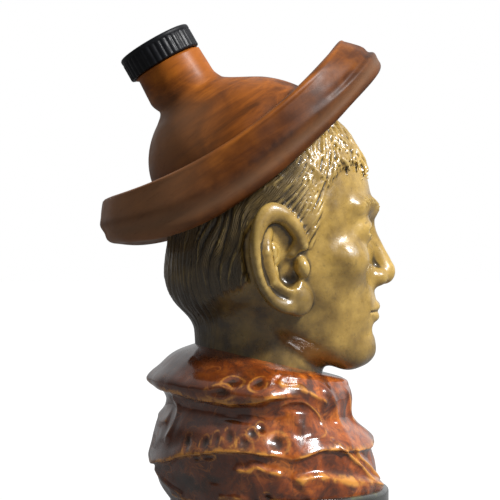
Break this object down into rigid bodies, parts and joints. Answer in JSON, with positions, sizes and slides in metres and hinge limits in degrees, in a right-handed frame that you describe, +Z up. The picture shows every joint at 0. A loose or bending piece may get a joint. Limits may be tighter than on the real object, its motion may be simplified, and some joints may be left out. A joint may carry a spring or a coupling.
{
  "type": "figural bottle",
  "caption": "Hollow glazed ceramic bottle shaped as a bust in a rolled-brim hat and neckerchief, with a tilted spout closed by a ribbed screw cap.",
  "frame": {"origin": "centre of the flat underside that the bottle stands on", "axes": "+Z up, the face looks along -Y, the spout leans back towards +Y, and +X is the figure's left side"},
  "size_m": [0.1, 0.125, 0.21],
  "materials": {
    "glaze": "glossy translucent glaze in browns, orange and ochre with dark wash in the recesses",
    "cap_plastic": "black moulded plastic with a satin sheen"
  },
  "bodies": {
    "root": {"bottle": "glaze", "screw_cap": "cap_plastic"}
  },
  "joints": []
}
